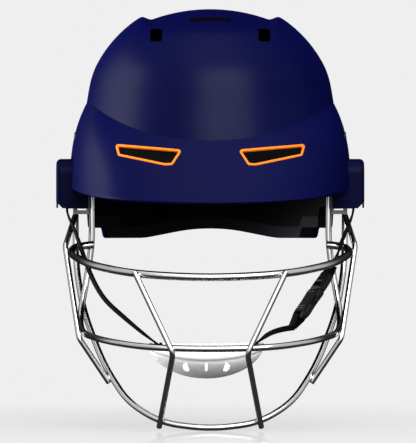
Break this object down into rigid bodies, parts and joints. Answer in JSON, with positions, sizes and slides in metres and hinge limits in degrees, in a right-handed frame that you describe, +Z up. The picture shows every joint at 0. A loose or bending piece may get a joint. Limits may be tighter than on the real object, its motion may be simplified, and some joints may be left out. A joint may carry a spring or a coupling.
{
  "type": "cricket helmet",
  "caption": "Hard-shell sport helmet with a wrap-round peak, boxy ear guards, a bent steel face grille, foam liner and pads, and a strapped chin cup with a side-release buckle.",
  "frame": {"origin": "centre of the head opening, level with the shell's lower edge over the ears", "axes": "+Z up through the crown, -Y towards the peak and grille, +X towards the wearer's left"},
  "size_m": [0.2316, 0.2906, 0.3159],
  "materials": {
    "navy_shell": "satin moulded plastic",
    "navy_peak": "satin moulded plastic",
    "navy_guard": "satin moulded plastic",
    "liner_foam": "black hard foam with a fine cloth face",
    "rim_trim": "soft satin rolled edge",
    "pad_cloth": "black knitted cloth over foam",
    "black_fixing": "satin",
    "orange_trim": "satin gloss",
    "vent_black": "matt",
    "steel_fixing": "zinc plated",
    "bracket_steel": "plated sheet",
    "steel_bar": "polished",
    "strap_webbing": "tight woven webbing",
    "buckle_black": "satin moulding",
    "cup_white": "soft satin moulding"
  },
  "bodies": {
    "helmet": {"outer_shell": "navy_shell", "peak": "navy_peak", "impact_liner": "liner_foam", "rear_rim_trim": "rim_trim", "crown_pad": "pad_cloth", "front_pad": "pad_cloth", "rear_pad": "pad_cloth", "peak_rivets_left": "black_fixing", "peak_rivets_right": "black_fixing", "vent_frame_left": "orange_trim", "vent_frame_right": "orange_trim", "vent_insert_left": "vent_black", "vent_insert_right": "vent_black", "side_pad_left": "pad_cloth", "side_pad_right": "pad_cloth", "ear_guard_left": "navy_guard", "ear_guard_right": "navy_guard", "guard_screws_left": "steel_fixing", "guard_screws_right": "steel_fixing", "guard_nuts_left": "steel_fixing", "guard_nuts_right": "steel_fixing", "grille_spacers_left": "steel_fixing", "grille_spacers_right": "steel_fixing", "strap_stud_left": "black_fixing", "strap_stud_right": "black_fixing", "pivot_screw_left": "steel_fixing", "pivot_screw_right": "steel_fixing", "pivot_nut_left": "steel_fixing", "pivot_nut_right": "steel_fixing", "lock_screw_left": "steel_fixing", "lock_screw_right": "steel_fixing", "lock_nut_left": "steel_fixing", "lock_nut_right": "steel_fixing"},
    "grille": {"mount_bracket_left": "bracket_steel", "mount_bracket_right": "bracket_steel", "top_bar": "steel_bar", "middle_bar": "steel_bar", "lower_hoop": "steel_bar", "side_rod_left": "steel_bar", "side_rod_right": "steel_bar", "front_rod_left": "steel_bar", "front_rod_right": "steel_bar"},
    "chin_strap": {"strap_right": "strap_webbing", "strap_left_upper": "strap_webbing", "strap_left_lower": "strap_webbing", "buckle_socket": "buckle_black"},
    "chin_cup": {"chin_cup": "cup_white"},
    "buckle_plug": {"buckle_plug": "buckle_black"},
    "prong_front": {"buckle_prong_front": "buckle_black"},
    "prong_rear": {"buckle_prong_rear": "buckle_black"}
  },
  "joints": [
    {"name": "grille_tilt", "type": "hinge", "parent": "helmet", "child": "grille", "pos_m": [0, -0.012, 0.022], "axis": [1, 0, 0], "range_deg": [-3.5, 3.5]},
    {"name": "chin_strap_swing", "type": "hinge", "parent": "helmet", "child": "chin_strap", "pos_m": [0, -0.036, 0.0055], "axis": [1, 0, 0], "range_deg": [-8, 3]},
    {"name": "chin_cup_tilt", "type": "hinge", "parent": "chin_strap", "child": "chin_cup", "pos_m": [0, -0.085, -0.1], "axis": [1, 0, 0], "range_deg": [-8, 8]},
    {"name": "buckle_release", "type": "slide", "parent": "chin_strap", "child": "buckle_plug", "axis": [0.5299, 0.3231, 0.7841], "range_m": [0, 0.0155], "deforming": ["strap_left_upper", "buckle_prong_front", "buckle_prong_rear"]},
    {"name": "prong_squeeze_front", "type": "hinge", "parent": "buckle_plug", "child": "prong_front", "pos_m": [0.0816, -0.07412, -0.06239], "axis": [0.7167, 0.3237, -0.6177], "range_deg": [0, 10], "stiffness_Nm_per_rad": 0.6},
    {"name": "prong_squeeze_rear", "type": "hinge", "parent": "buckle_plug", "child": "prong_rear", "pos_m": [0.0758, -0.06274, -0.06316], "axis": [-0.7167, -0.3237, 0.6177], "range_deg": [0, 10], "stiffness_Nm_per_rad": 0.6}
  ]
}
